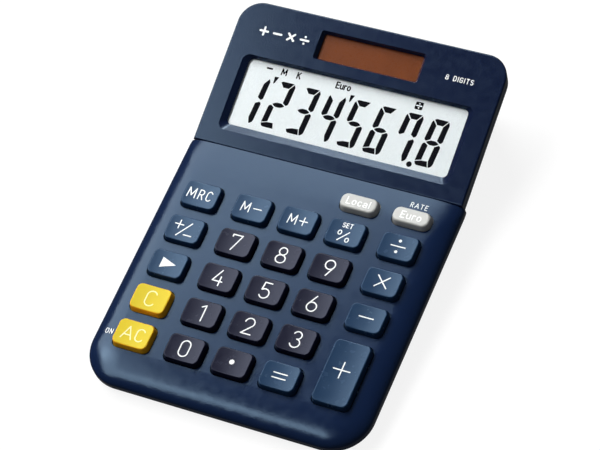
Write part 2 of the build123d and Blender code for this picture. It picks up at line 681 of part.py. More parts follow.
# ---------------------------------------------------------------- lower case
def make_tub(inset, floor):
    """Solid tub under both parting planes, drawing in downwards, cut off at the floor."""
    draw = SHELL_DEPTH * tan(radians(SHELL_TAPER))
    with BuildPart() as front_half:
        for depth, pull in ((0.0, 0.0), (SHELL_DEPTH, draw)):
            front = SHELL_FRONT + inset + pull
            with BuildSketch(deck.offset(RIM_BOTTOM - depth)):
                with Locations((0, (front + SHELL_REACH) / 2)):
                    RectangleRounded(
                        2 * (SHELL_HALF - inset - pull), SHELL_REACH - front,
                        SHELL_CORNERS[0] - inset - CORNER_LOSS[0] * pull,
                    )
        loft(ruled=True)
        split(bisect_by=mitre, keep=Keep.BOTTOM)
    with BuildPart() as back_half:
        for depth, pull in ((0.0, 0.0), (SHELL_DEPTH, draw)):
            back = SHELL_BACK - inset - pull
            with BuildSketch(panel.offset(-SKIRT - depth)):
                with Locations((0, (back - SHELL_REACH) / 2)):
                    RectangleRounded(
                        2 * (SHELL_HALF - inset - pull), SHELL_REACH + back,
                        SHELL_CORNERS[1] - inset - CORNER_LOSS[1] * pull,
                    )
        loft(ruled=True)
        split(bisect_by=mitre, keep=Keep.TOP)
    with BuildPart() as tub:
        add(front_half.part)
        add(back_half.part)
        split(bisect_by=Plane.XY.offset(floor), keep=Keep.TOP)
    return tub.part


tub_outside = make_tub(0.0, FLOOR_BOTTOM)
tub_inside = make_tub(SHELL_WALL, FLOOR_TOP)

with BuildPart() as lower_case:
    add(tub_outside)
    fillet(lower_case.faces().sort_by(Axis.Z)[0].edges(), radius=FLOOR_EDGE)
    add(tub_inside, mode=Mode.SUBTRACT)
    # screw bosses, with wells for the heads
    for x, y, seat, foot, _ in (FRONT_SCREW, REAR_SCREW):
        with BuildSketch(Plane.XY.offset(FLOOR_BOTTOM + BOSS_SUNK)):
            with Locations((-x, y), (x, y)):
                Circle(LOWER_BOSS_R)
        extrude(amount=foot - FLOOR_BOTTOM - BOSS_SUNK)
        with BuildSketch(Plane.XY):
            with Locations((-x, y), (x, y)):
                Circle(CASE_WELL_R)
        extrude(amount=seat, mode=Mode.SUBTRACT)
        with BuildSketch(Plane.XY):
            with Locations((-x, y), (x, y)):
                Circle(CASE_HOLE_R)
        extrude(amount=foot, mode=Mode.SUBTRACT)
    # battery well with its ceiling, and the door screw's boss
    with BuildSketch(Plane.XY.offset(FLOOR_TOP)):
        with Locations(CELL_SPOT):
            Rectangle(WELL_INSIDE[0] + 2 * WELL_WALL, WELL_INSIDE[1] + 2 * WELL_WALL)
    extrude(amount=WELL_TOP - FLOOR_TOP)
    with BuildSketch(Plane.XY.offset(FLOOR_TOP)):
        with Locations(DOOR_SCREW_SPOT):
            Circle(DOOR_BOSS_R)
    extrude(amount=DOOR_BOSS_TOP - FLOOR_TOP)
    with BuildSketch(Plane.XY):
        with Locations(CELL_SPOT):
            Rectangle(*WELL_INSIDE)
    extrude(amount=WELL_CEILING, mode=Mode.SUBTRACT)
    with BuildSketch(Plane.XY):
        with Locations(DOOR_SCREW_SPOT):
            Circle(BOARD_PILOT_R + 0.3)
    extrude(amount=DOOR_BOSS_TOP - BOSS_ROOF, mode=Mode.SUBTRACT)
    # slots in the ceiling for the contact tails
    with BuildSketch(Plane.XY.offset(WELL_CEILING)):
        with Locations((CELL_SPOT[0] - WELL_INSIDE[0] / 2 + 1.0, CELL_SPOT[1])):
            Rectangle(*TAIL_SLOTS[0])
        with Locations((CELL_SPOT[0], CELL_SPOT[1] + WELL_INSIDE[1] / 2 - 0.4)):
            Rectangle(*TAIL_SLOTS[1])
    extrude(amount=WELL_TOP - WELL_CEILING, mode=Mode.SUBTRACT)
    # recess for the battery door
    with BuildSketch(Plane.XY):
        with Locations(DOOR_SPOT):
            RectangleRounded(
                DOOR_SIZE[0] + 2 * DOOR_GAP, DOOR_SIZE[1] + 2 * DOOR_GAP, DOOR_CORNER + DOOR_GAP
            )
    extrude(amount=DOOR_TOP, mode=Mode.SUBTRACT)
    # seats for the feet
    with BuildSketch(Plane.XY):
        for x, y in FEET:
            with Locations((-x, y), (x, y)):
                Circle(FOOT_R + FOOT_GAP)
    extrude(amount=FLOOR_BOTTOM + FOOT_SEAT, mode=Mode.SUBTRACT)
    # stiffening ribs across the floor under the display
    with BuildSketch(Plane.XY.offset(FLOOR_TOP)):
        with Locations(*[(0, y) for y in FLOOR_RIBS_Y]):
            Rectangle(FLOOR_RIB[0], FLOOR_RIB[1])
    extrude(amount=FLOOR_RIB[2])
finish(lower_case, "lower_case")

for screw_name, (x, y, seat, _, _), shank in (
    ("front_case_screws", FRONT_SCREW, FRONT_SHANK), ("rear_case_screws", REAR_SCREW, REAR_SHANK),
):
    make_screws(
        screw_name, Plane.XY.offset(seat), [(-x, y), (x, y)],
        CASE_HEAD_R, CASE_HEAD, CASE_SCREW_R, shank,
    )

with BuildPart() as rubber_feet:
    with BuildSketch(Plane.XY):
        for x, y in FEET:
            with Locations((-x, y), (x, y)):
                Circle(FOOT_R)
    extrude(amount=FLOOR_BOTTOM + FOOT_SEAT)
    fillet(rubber_feet.edges().group_by(Axis.Z)[0], radius=FOOT_EDGE)
finish(rubber_feet, "rubber_feet")

# ---------------------------------------------------------------- battery
with BuildPart() as battery_door:
    with BuildSketch(Plane.XY.offset(FLOOR_BOTTOM)):
        with Locations(DOOR_SPOT):
            RectangleRounded(*DOOR_SIZE, DOOR_CORNER)
        with Locations(DOOR_SCREW_SPOT):
            Circle(SMALL_SCREW_HOLE_R + 0.2, mode=Mode.SUBTRACT)
    extrude(amount=DOOR_TOP - FLOOR_BOTTOM)
finish(battery_door, "battery_door")

make_screws(
    "battery_door_screw", Plane.XY.offset(FLOOR_BOTTOM), [DOOR_SCREW_SPOT],
    SMALL_HEAD_R + 0.4, SMALL_HEAD - 0.1, SMALL_SCREW_R + 0.3, 4.0,
)

with BuildPart() as battery_cell:
    with BuildSketch(Plane.XY.offset(CELL_BOTTOM)):
        with Locations(CELL_SPOT):
            Circle(CELL_R)
    extrude(amount=CELL_HEIGHT - CELL_CAP)
    fillet(battery_cell.edges(), radius=0.4)
    with BuildSketch(Plane.XY.offset(CELL_BOTTOM + CELL_HEIGHT - CELL_CAP)):
        with Locations(CELL_SPOT):
            Circle(CELL_CAP_R)
    extrude(amount=CELL_CAP)
finish(battery_cell, "battery_cell")

# sprung strip under the ceiling that presses on the cell's cap
cell_top = CELL_BOTTOM + CELL_HEIGHT
tail_x = CELL_SPOT[0] - WELL_INSIDE[0] / 2 + 1.0
with BuildPart() as battery_contact_negative:
    with BuildSketch(Plane.XZ.offset(-CELL_SPOT[1] - STRIP_WIDTH / 2)):
        with BuildLine():
            Polyline(
                (tail_x, TAIL_TOP), (tail_x, WELL_CEILING - 0.2),
                (CELL_SPOT[0] - 3.5, WELL_CEILING - 0.2), (CELL_SPOT[0] + 1.0, cell_top + 0.2),
            )
        trace(line_width=STRIP)
    extrude(amount=STRIP_WIDTH)
finish(battery_contact_negative, "battery_contact_negative")

# strip along the well's wall, bowed towards the side of the cell
strip_y = CELL_SPOT[1] + WELL_INSIDE[1] / 2 - 0.35
with BuildPart() as battery_contact_positive:
    with BuildSketch(Plane.YZ.offset(CELL_SPOT[0] - STRIP_WIDTH / 2)):
        with BuildLine():
            Polyline(
                (strip_y, FLOOR_TOP + 0.3), (CELL_SPOT[1] + CELL_R + 0.25, CELL_BOTTOM + 2.6),
                (strip_y, WELL_CEILING - 1.2), (strip_y, TAIL_TOP),
            )
        trace(line_width=STRIP)
    extrude(amount=STRIP_WIDTH)
finish(battery_contact_positive, "battery_contact_positive")

make_wires(
    "battery_leads",
    [
        [
            (tail_x, CELL_SPOT[1] - 2.05, 10.0), (tail_x, 30.0, 9.4), (BATTERY_LEADS_X[0], 25.0, 5.8),
            (BATTERY_LEADS_X[0], board_pad[0], 5.0), (BATTERY_LEADS_X[0], *board_pad),
        ],
        [
            (CELL_SPOT[0], strip_y - 0.2, 10.0), (18.0, 30.0, 9.4), (BATTERY_LEADS_X[1], 25.0, 5.8),
            (BATTERY_LEADS_X[1], board_pad[0], 5.0), (BATTERY_LEADS_X[1], *board_pad),
        ],
    ],
)
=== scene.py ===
"""Looks of the desk calculator: mouldings, printed legends and the display's digits."""
import json
from math import atan2, cos, pi, radians, sin

import bmesh
import bpy
from mathutils import Matrix, Vector
from mathutils.bvhtree import BVHTree


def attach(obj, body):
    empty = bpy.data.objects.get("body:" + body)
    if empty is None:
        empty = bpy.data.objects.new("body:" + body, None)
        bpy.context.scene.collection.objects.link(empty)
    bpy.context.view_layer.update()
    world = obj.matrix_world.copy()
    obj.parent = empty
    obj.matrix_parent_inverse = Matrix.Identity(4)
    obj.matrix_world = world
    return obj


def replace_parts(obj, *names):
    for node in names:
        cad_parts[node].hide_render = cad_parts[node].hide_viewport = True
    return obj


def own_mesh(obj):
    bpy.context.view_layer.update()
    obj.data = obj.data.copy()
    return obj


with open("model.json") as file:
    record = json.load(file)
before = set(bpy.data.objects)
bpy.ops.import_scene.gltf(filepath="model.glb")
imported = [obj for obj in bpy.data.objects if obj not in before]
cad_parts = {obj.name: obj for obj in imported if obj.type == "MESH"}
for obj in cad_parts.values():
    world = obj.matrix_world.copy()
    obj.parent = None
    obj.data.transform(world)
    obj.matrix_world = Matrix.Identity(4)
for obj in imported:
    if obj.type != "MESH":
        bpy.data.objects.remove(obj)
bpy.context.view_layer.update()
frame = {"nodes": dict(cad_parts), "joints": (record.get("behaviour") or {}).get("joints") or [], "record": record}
nodes = frame["nodes"]
record = frame["record"]

MM = 0.001

# ---------------------------------------------------------------- camera
CAMERA_AIM = Vector((0.5, -0.8, 13.0)) * MM
CAMERA_DISTANCE = 873.3 * MM
CAMERA_AZIMUTH = radians(37.5)      # to the right of straight in front
CAMERA_ELEVATION = radians(53.4)
CAMERA_ROLL = radians(-16.83)
CAMERA_LENS = 156.0
SENSOR_WIDTH = 36.0


def from_azimuth(azimuth, elevation):
    """Direction from the object: azimuth 0 is in front, 90 degrees to the right."""
    flat = cos(elevation)
    return Vector((flat * sin(azimuth), -flat * cos(azimuth), sin(elevation)))


def make_camera():
    data = bpy.data.cameras.new("camera")
    data.lens = CAMERA_LENS
    data.sensor_width = SENSOR_WIDTH
    data.clip_end = 20.0
    camera = bpy.data.objects.new("camera", data)
    towards = from_azimuth(CAMERA_AZIMUTH, CAMERA_ELEVATION)
    camera.location = CAMERA_AIM + CAMERA_DISTANCE * towards
    turn = (-towards).to_track_quat("-Z", "Y").to_matrix().to_4x4()
    turn = turn @ Matrix.Rotation(CAMERA_ROLL, 4, "Z")
    camera.rotation_euler = turn.to_euler()
    bpy.context.scene.collection.objects.link(camera)
    bpy.context.scene.camera = camera


make_camera()


# ---------------------------------------------------------------- floor and light
FLOOR_SIZE = 8.0
FLOOR_DROP = 0.02 * MM      # keeps the floor off the faces that stand on it
FLOOR_GREY = (0.16, 0.16, 0.16, 1)
FLOOR_ROUGHNESS = 0.9
FLOOR_GLOW = 0.87
LAMP_DISTANCE = 1.2
SKY_COLOUR = (0.95, 0.97, 1.0, 1)
SKY_STRENGTH = 0.12


def make_floor():
    """A pale floor that glows a little, so that the object's shadow on it stays light."""
    mesh = bpy.data.meshes.new("floor")
    half = FLOOR_SIZE / 2
    outline = ((-half, -half), (half, -half), (half, half), (-half, half))
    mesh.from_pydata([(x, y, -FLOOR_DROP) for x, y in outline], [], [(0, 1, 2, 3)])
    floor = bpy.data.objects.new("floor", mesh)
    bpy.context.scene.collection.objects.link(floor)
    paint = bpy.data.materials.new("floor_paint")
    paint.use_nodes = True
    shader = paint.node_tree.nodes["Principled BSDF"]
    shader.inputs["Base Color"].default_value = FLOOR_GREY
    shader.inputs["Roughness"].default_value = FLOOR_ROUGHNESS
    shader.inputs["Specular IOR Level"].default_value = 0.0
    shader.inputs["Emission Color"].default_value = (1, 1, 1, 1)
    shader.inputs["Emission Strength"].default_value = FLOOR_GLOW
    mesh.materials.append(paint)
    floor.visible_glossy = False
    floor.visible_diffuse = False


def make_softbox(name, azimuth, elevation, width, height, radiance, diffuse=True, gloss=True):
    """A rectangular lamp that looks at the middle of the object."""
    data = bpy.data.lights.new(name, "AREA")
    data.shape = "RECTANGLE"
    data.size = width
    data.size_y = height
    data.energy = radiance * pi * width * height
    lamp = bpy.data.objects.new(name, data)
    towards = from_azimuth(radians(azimuth), radians(elevation))
    lamp.location = CAMERA_AIM + LAMP_DISTANCE * towards
    lamp.rotation_euler = (-towards).to_track_quat("-Z", "Y").to_euler()
    lamp.visible_diffuse = diffuse
    lamp.visible_glossy = gloss
    bpy.context.scene.collection.objects.link(lamp)


def make_world():
    world = bpy.data.worlds.new("studio")
    world.use_nodes = True
    sky = world.node_tree.nodes["Background"]
    sky.inputs["Color"].default_value = SKY_COLOUR
    sky.inputs["Strength"].default_value = SKY_STRENGTH
    bpy.context.scene.world = world


make_floor()
make_world()
# The first two stand for one window: its light on the colours, and its reflection in the deck. left_patch
# gives light and reflection alike; the last two are only reflected.
make_softbox("window_light", azimuth=-128, elevation=46, width=1.17, height=0.56, radiance=9.7, gloss=False)
make_softbox("window_gloss", azimuth=-129, elevation=48.3, width=1.14, height=0.55, radiance=6.4,
             diffuse=False)
make_softbox("left_patch", azimuth=-78, elevation=56, width=0.60, height=0.38, radiance=7.2)
make_softbox("front_patch", azimuth=-51, elevation=68, width=0.34, height=0.16, radiance=8.5, diffuse=False)
make_softbox("back_strip", azimuth=-155, elevation=36, width=0.22, height=0.13, radiance=20, diffuse=False)
bpy.context.scene.view_settings.view_transform = "Standard"


# ---------------------------------------------------------------- materials
NOISE_RANGE = (0.3, 0.7)            # most of a noise's values lie between these
# Painted shade: a key's sides get a deeper colour than its face, blended between these two upward parts of the
# normal.
SIDE_SHADE_TO_FACE = (0.80, 0.994)        # the normal's upward part where the side and the face colours are full
RIBBON_EDGE = (0.45, 0.55)          # the wave's values between film and track


class Nodes:
    """A material's node tree, with short calls for what the materials here share."""

    def __init__(self, name, base, roughness, **settings):
        self.material = bpy.data.materials.new(name)
        self.material.use_nodes = True
        self.tree = self.material.node_tree
        self.shader = self.tree.nodes["Principled BSDF"]
        self.shader.inputs["Base Color"].default_value = (*base, 1)
        self.shader.inputs["Roughness"].default_value = roughness
        for socket, value in settings.items():
            self.shader.inputs[socket.replace("_", " ")].default_value = value
        self.place = self.add("ShaderNodeTexCoord").outputs["Object"]
        self.bump_normal = None

    def add(self, kind, **settings):
        node = self.tree.nodes.new(kind)
        for key, value in settings.items():
            setattr(node, key, value)
        return node

    def link(self, output, socket):
        self.tree.links.new(output, socket)

    def noise(self, size, detail=2.0, stretch=None):
        """Noise whose cells are about size metres across."""
        place = self.place
        if stretch:
            mapping = self.add("ShaderNodeMapping")
            mapping.inputs["Scale"].default_value = stretch
            self.link(place, mapping.inputs["Vector"])
            place = mapping.outputs["Vector"]
        node = self.add("ShaderNodeTexNoise")
        node.inputs["Scale"].default_value = 1.0 / size
        node.inputs["Detail"].default_value = detail
        self.link(place, node.inputs["Vector"])
        return node.outputs["Fac"]

    def ramp(self, factor, stops):
        """Colours between stops, each a position and a colour."""
        node = self.add("ShaderNodeValToRGB")
        elements = node.color_ramp.elements
        while len(elements) < len(stops):
            elements.new(0.5)
        for element, (position, colour) in zip(elements, stops):
            element.position = position
            element.color = (*colour, 1)
        self.link(factor, node.inputs["Fac"])
        return node.outputs["Color"]

    def spread(self, factor, low, high):
        """A noise's usual range stretched to low .. high."""
        node = self.add("ShaderNodeMapRange")
        node.inputs["From Min"].default_value = NOISE_RANGE[0]
        node.inputs["From Max"].default_value = NOISE_RANGE[1]
        node.inputs["To Min"].default_value = low
        node.inputs["To Max"].default_value = high
        self.link(factor, node.inputs["Value"])
        return node.outputs["Result"]

    def tint(self, factor, base, change):
        """Base colour that drifts darker and lighter by the share change."""
        darker = [c * (1 - change) for c in base]
        lighter = [min(1.0, c * (1 + change)) for c in base]
        colour = self.ramp(factor, list(zip(NOISE_RANGE, (darker, lighter))))
        self.link(colour, self.shader.inputs["Base Color"])

    def deepen_sides(self, side):
        """Painted shade: a deeper colour where the surface turns away from straight up, as a key's sides look in
        shade.
        """
        base = self.shader.inputs["Base Color"]
        face = base.links[0].from_socket
        normal = self.add("ShaderNodeNewGeometry").outputs["Normal"]
        parts = self.add("ShaderNodeSeparateXYZ")
        self.link(normal, parts.inputs["Vector"])
        share = self.ramp(parts.outputs["Z"], list(zip(SIDE_SHADE_TO_FACE, ((0, 0, 0), (1, 1, 1)))))
        blend = self.add("ShaderNodeMixRGB")
        blend.inputs["Color1"].default_value = (*side, 1)
        self.link(share, blend.inputs["Fac"])
        self.link(face, blend.inputs["Color2"])
        self.link(blend.outputs["Color"], base)

    def rough(self, factor, low, high):
        self.link(self.spread(factor, low, high), self.shader.inputs["Roughness"])

    def bump(self, factor, depth):
        """Relief of a depth in metres; later calls add to earlier ones."""
        node = self.add("ShaderNodeBump")
        node.inputs["Distance"].default_value = depth
        self.link(factor, node.inputs["Height"])
        if self.bump_normal:
            self.link(self.bump_normal, node.inputs["Normal"])
        self.bump_normal = node.outputs["Normal"]
        self.link(self.bump_normal, self.shader.inputs["Normal"])


def moulded(name, base, roughness, grain=0.35, depth=0.01, side=None, **settings):
    """Moulded plastic: spark-eroded grain, slow tint drift and slight gloss changes; with side, painted shade on
    its sides.
    """
    m = Nodes(name, base, roughness, **settings)
    m.tint(m.noise(18 * MM, detail=3), base, change=0.05)
    # side is a painted shade for the sides, not a colour of the plastic
    if side:
        m.deepen_sides(side)
    m.rough(m.noise(2.5 * MM), roughness - 0.03, roughness + 0.03)
    m.bump(m.noise(grain * MM, detail=1.5), depth * MM)
    return m.material


def rubbery(name, base, roughness=0.75):
    m = Nodes(name, base, roughness, Specular_IOR_Level=0.3)
    m.tint(m.noise(4 * MM), base, change=0.08)
    m.rough(m.noise(1 * MM), roughness - 0.08, roughness + 0.05)
    m.bump(m.noise(0.25 * MM), depth=0.02 * MM)
    return m.material


def metal(name, base, roughness, brushed=False):
    """Plated or brushed steel with fine handling marks."""
    m = Nodes(name, base, roughness, Metallic=1.0)
    m.tint(m.noise(3 * MM), base, change=0.06)
    stretch = (1, 18, 18) if brushed else None
    marks = m.noise(0.6 * MM, detail=4, stretch=stretch)
    m.rough(marks, roughness - 0.06, roughness + 0.08)
    m.bump(marks, depth=0.003 * MM)
    return m.material


def clear_sheet(name, base, alpha, roughness):
    """Thin clear sheet: nearly all light passes, and a trace of gloss stays."""
    m = Nodes(name, base, roughness, Alpha=alpha)
    m.tint(m.noise(9 * MM), base, change=0.05)
    m.rough(m.noise(3 * MM), roughness, roughness + 0.02)
    return m.material


def laminate(name, base):
    """Board laminate: paper fibres and a drift in the resin."""
    m = Nodes(name, base, 0.5)
    m.tint(m.noise(1.2 * MM, detail=5, stretch=(1, 4, 1)), base, change=0.18)
    m.bump(m.noise(0.4 * MM, stretch=(1, 6, 1)), depth=0.01 * MM)
    return m.material


def solar_film(name, base):
    """Amorphous silicon behind glass: an even brown with a slow drift."""
    m = Nodes(name, base, 0.28, Specular_IOR_Level=0.1)
    m.tint(m.noise(6 * MM, detail=4), base, change=0.07)
    m.rough(m.noise(0.5 * MM), 0.25, 0.34)
    m.bump(m.noise(0.3 * MM), depth=0.003 * MM)
    return m.material


def ribbon_stripes(name, base):
    """Flexible film with fine dark tracks along it."""
    m = Nodes(name, base, 0.45)
    wave = m.add("ShaderNodeTexWave", bands_direction="X")
    wave.inputs["Scale"].default_value = 1.0 / (6.0 * MM)
    wave.inputs["Distortion"].default_value = 0.0
    m.link(m.place, wave.inputs["Vector"])
    track = [c * 0.25 for c in base]
    stripes = m.ramp(wave.outputs["Fac"], list(zip(RIBBON_EDGE, (base, track))))
    m.link(stripes, m.shader.inputs["Base Color"])
    m.bump(m.noise(0.5 * MM), depth=0.005 * MM)
    return m.material


def ink(name, base, roughness=0.5, gloss=0.1):
    """Printed ink: slightly uneven cover."""
    m = Nodes(name, base, roughness, Specular_IOR_Level=gloss)
    m.tint(m.noise(0.8 * MM, detail=3), base, change=0.04)
    m.rough(m.noise(0.5 * MM), roughness - 0.05, roughness + 0.05)
    return m.material


CASE_BLUE = (0.004, 0.011, 0.040)
PANEL_NAVY = (0.004, 0.008, 0.030)
TUB_NAVY = (0.003, 0.007, 0.024)
DIGIT_BLACK = (0.004, 0.004, 0.013)
FUNCTION_BLUE = (0.008, 0.026, 0.066)
YELLOW = (0.60, 0.46, 0.016)
# painted shade: the deeper orange that the yellow keys' sides show in their shade
YELLOW_SIDE_SHADE = (0.92, 0.44, 0.012)
PILL_GREY = (0.45, 0.455, 0.435)
BLUE_GLOSS = dict(Specular_IOR_Level=0.33, Specular_Tint=(0.5, 0.75, 1.0, 1))
DIGIT_GLOSS = dict(Specular_IOR_Level=0.22, Specular_Tint=(0.7, 0.77, 1.0, 1))
WARM_GLOSS = dict(Specular_IOR_Level=0.25, Specular_Tint=(1.0, 0.85, 0.3, 1))
MATERIALS = {
    "case_blue": moulded("case_blue", CASE_BLUE, 0.17, grain=0.5, depth=0.018, **BLUE_GLOSS),
    "panel_navy": moulded("panel_navy", PANEL_NAVY, 0.18, grain=0.5, depth=0.034, **BLUE_GLOSS),
    "case_dark": moulded("case_dark", TUB_NAVY, 0.36, grain=0.4, depth=0.015, **BLUE_GLOSS),
    "key_charcoal": moulded("key_charcoal", DIGIT_BLACK, 0.25, grain=0.5, depth=0.005, **DIGIT_GLOSS),
    "key_blue": moulded("key_blue", FUNCTION_BLUE, 0.25, grain=0.5, depth=0.005, **BLUE_GLOSS),
    "key_yellow": moulded("key_yellow", YELLOW, 0.34, depth=0.006, side=YELLOW_SIDE_SHADE, **WARM_GLOSS),
    "key_grey": moulded("key_grey", PILL_GREY, 0.36, depth=0.006),
    "clear_window": clear_sheet("clear_window", (0.02, 0.025, 0.03), 0.04, 0.05),
    "polariser": ink("polariser", (0.86, 0.92, 0.93), 0.55),
    "lcd_glass": clear_sheet("lcd_glass", (0.45, 0.55, 0.52), 0.25, 0.04),
    "reflector_film": ink("reflector_film", (0.80, 0.87, 0.88), 0.4),
    "holder_plastic": moulded("holder_plastic", (0.03, 0.03, 0.032), 0.5),
    "ribbon_film": ribbon_stripes("ribbon_film", (0.50, 0.38, 0.20)),
    "solar_brown": solar_film("solar_brown", (0.168, 0.040, 0.006)),
    "foam_black": rubbery("foam_black", (0.03, 0.03, 0.03), 0.9),
    "wire_red": rubbery("wire_red", (0.45, 0.03, 0.02), 0.45),
    "mat_rubber": rubbery("mat_rubber", (0.62, 0.62, 0.60), 0.6),
    "pill_carbon": rubbery("pill_carbon", (0.02, 0.02, 0.02), 0.6),
    "board_laminate": laminate("board_laminate", (0.33, 0.20, 0.08)),
    "epoxy_black": moulded("epoxy_black", (0.015, 0.015, 0.016), 0.25, grain=0.8),
    "chip_tan": moulded("chip_tan", (0.50, 0.36, 0.20), 0.5),
    "diode_red": moulded("diode_red", (0.60, 0.02, 0.02), 0.15),
    "screw_steel": metal("screw_steel", (0.55, 0.55, 0.56), 0.35, brushed=True),
    "cell_steel": metal("cell_steel", (0.72, 0.72, 0.73), 0.22),
    "contact_metal": metal("contact_metal", (0.72, 0.70, 0.66), 0.28),
    "foot_rubber": rubbery("foot_rubber", (0.045, 0.045, 0.047), 0.8),
    "legend_white": ink("legend_white", (0.90, 0.91, 0.90)),
    "legend_cream": ink("legend_cream", (0.93, 0.86, 0.45)),
    "segment_black": ink("segment_black", (0.006, 0.006, 0.008), 0.6, gloss=0.0),
}

for row in record["subparts"]:
    mesh = nodes[row["node"]].data
    mesh.materials.clear()
    mesh.materials.append(MATERIALS[row["material_slot"]])

# ---------------------------------------------------------------- reference planes
# keys press along the deck's normal; the display panel leans back further
press_axis = Vector(frame["joints"][0]["axis"])
DECK_TILT = atan2(-press_axis.y, press_axis.z)
PANEL_TILT = radians(16.6)
deck_turn = Matrix.Rotation(DECK_TILT, 3, "X")
panel_turn = Matrix.Rotation(PANEL_TILT, 3, "X")
RAY_START = 1.0     # above everything on the object


def extent(node, turn):
    """Lowest and highest corner of a node along a plane's own axes."""
    back = turn.transposed()
    points = [back @ v.co for v in nodes[node].data.vertices]
    low = Vector([min(p[i] for p in points) for i in range(3)])
    high = Vector([max(p[i] for p in points) for i in range(3)])
    return low, high


def surface(node, turn):
    """A function that gives the height of a node's top surface along a plane's own axes."""
    back = turn.transposed()
    mesh = nodes[node].data
    tree = BVHTree.FromPolygons([back @ v.co for v in mesh.vertices], [p.vertices[:] for p in mesh.polygons])

    def height(x, y):
        spot, *_ = tree.ray_cast(Vector((x, y, RAY_START)), Vector((0.0, 0.0, -1.0)))
        return spot.z

    return height


# ---------------------------------------------------------------- strokes and plates
PRINT_SUNK = 0.02 * MM      # how far a print's underside lies below the surface
PRINT_PROUD = 0.025 * MM
PRINT_STEP = 0.004 * MM     # each further stroke stands this much prouder
PRINT_LEVELS = 5
CAP_STEPS = 8
ARC_STEP = 15.0             # degrees between points on an arc
STROKE_STEP = 0.6 * MM      # between points along a stroke
SAME_POINT = 1e-9           # a path whose ends are closer than this is a ring
LEAST_MITRE = 0.5           # keeps the corner of a sharp bend from running far out


def arc(cx, cy, rx, ry, start, end):
    """Points on an ellipse, counter-clockwise from 3 o'clock when end is above start."""
    count = max(2, round(abs(end - start) / ARC_STEP))
    angles = [radians(start + (end - start) * i / count) for i in range(count + 1)]
    return [(cx + rx * cos(a), cy + ry * sin(a)) for a in angles]


def ring(cx, cy, rx, ry):
    return arc(cx, cy, rx, ry, 0, 360)[:-1] + [(cx + rx, cy)]


def resampled(path, step):
    """The path with points added so that none are further apart than step."""
    points = [Vector(path[0])]
    for start, end in zip(path, path[1:]):
        start, end = Vector(start), Vector(end)
        count = max(1, int((end - start).length / step))
        points += [start.lerp(end, i / count) for i in range(1, count + 1)]
    return points


def stroke_sides(points, half, closed):
    """Left and right edges of a stroke, mitred where it bends."""
    left, right = [], []
    last = len(points) - 1
    for i, point in enumerate(points):
        if closed:
            before = points[i - 1] if i else points[last - 1]
            after = points[i + 1] if i < last else points[1]
        else:
            before = points[max(0, i - 1)]
            after = points[min(last, i + 1)]
        arriving = (point - before).normalized() if point != before else (after - point).normalized()
        leaving = (after - point).normalized() if after != point else arriving
        along = (arriving + leaving).normalized()
        across = Vector((-along.y, along.x))
        reach = half / max(LEAST_MITRE, along.dot(leaving))
        left.append(point + reach * across)
        right.append(point - reach * across)
    return left, right


def cap_points(centre, start, half):
    """A half circle from the point start, clockwise round the centre."""
    arm = (start - centre).normalized() * half
    angles = [-pi * i / CAP_STEPS for i in range(1, CAP_STEPS)]
    return [centre + Vector((arm.x * cos(a) - arm.y * sin(a), arm.x * sin(a) + arm.y * cos(a)))
            for a in angles]


def add_prism(bm, outline, low, high, place):
    """A closed plate between two heights over an outline."""
    under = [bm.verts.new(place(p.x, p.y, low)) for p in outline]
    over = [bm.verts.new(place(p.x, p.y, high)) for p in outline]
    bm.faces.new(over)
    bm.faces.new(under[::-1])
    for i in range(len(outline)):
        j = (i + 1) % len(outline)
        bm.faces.new((under[i], under[j], over[j], over[i]))


def add_stroke(bm, path, width, low, high, place):
    """A round-ended line of ink along a path; a path that ends where it starts is a ring."""
    closed = len(path) > 2 and (Vector(path[0]) - Vector(path[-1])).length < SAME_POINT
    points = resampled(path, STROKE_STEP)
    half = width / 2
    left, right = stroke_sides(points, half, closed)
    if closed:
        left, right, points = left[:-1], right[:-1], points[:-1]
    count = len(points)
    levels = []
    for height in (low, high):
        levels.append((
            [bm.verts.new(place(p.x, p.y, height)) for p in left],
            [bm.verts.new(place(p.x, p.y, height)) for p in right],
        ))
    (under_l, under_r), (over_l, over_r) = levels
    for i in range(count if closed else count - 1):
        j = (i + 1) % count
        bm.faces.new((over_l[i], over_r[i], over_r[j], over_l[j]))
        bm.faces.new((under_l[j], under_r[j], under_r[i], under_l[i]))
        bm.faces.new((under_l[i], over_l[i], over_l[j], under_l[j]))
        bm.faces.new((under_r[j], over_r[j], over_r[i], under_r[i]))
    if closed:
        return
    for end, first, last in ((count - 1, 0, 1), (0, 1, 0)):
        sides = (left, right)
        over = (over_l, over_r)
        under = (under_l, under_r)
        bend = cap_points(points[end], sides[first][end], half)
        bend_over = [bm.verts.new(place(p.x, p.y, high)) for p in bend]
        bend_under = [bm.verts.new(place(p.x, p.y, low)) for p in bend]
        loop_over = [over[first][end], *bend_over, over[last][end]]
        loop_under = [under[first][end], *bend_under, under[last][end]]
        bm.faces.new(loop_over[::-1])
        bm.faces.new(loop_under)
        for i in range(len(loop_over) - 1):
            bm.faces.new((loop_under[i + 1], loop_under[i], loop_over[i], loop_over[i + 1]))


def finish_piece(bm, name, body, material):
    """A mesh becomes a named piece that rides on a body."""
    bmesh.ops.recalc_face_normals(bm, faces=bm.faces)
    mesh = bpy.data.meshes.new(name)
    bm.to_mesh(mesh)
    bm.free()
    piece = bpy.data.objects.new(name, mesh)
    bpy.context.scene.collection.objects.link(piece)
    mesh.materials.append(material)
    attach(piece, body)
    return piece


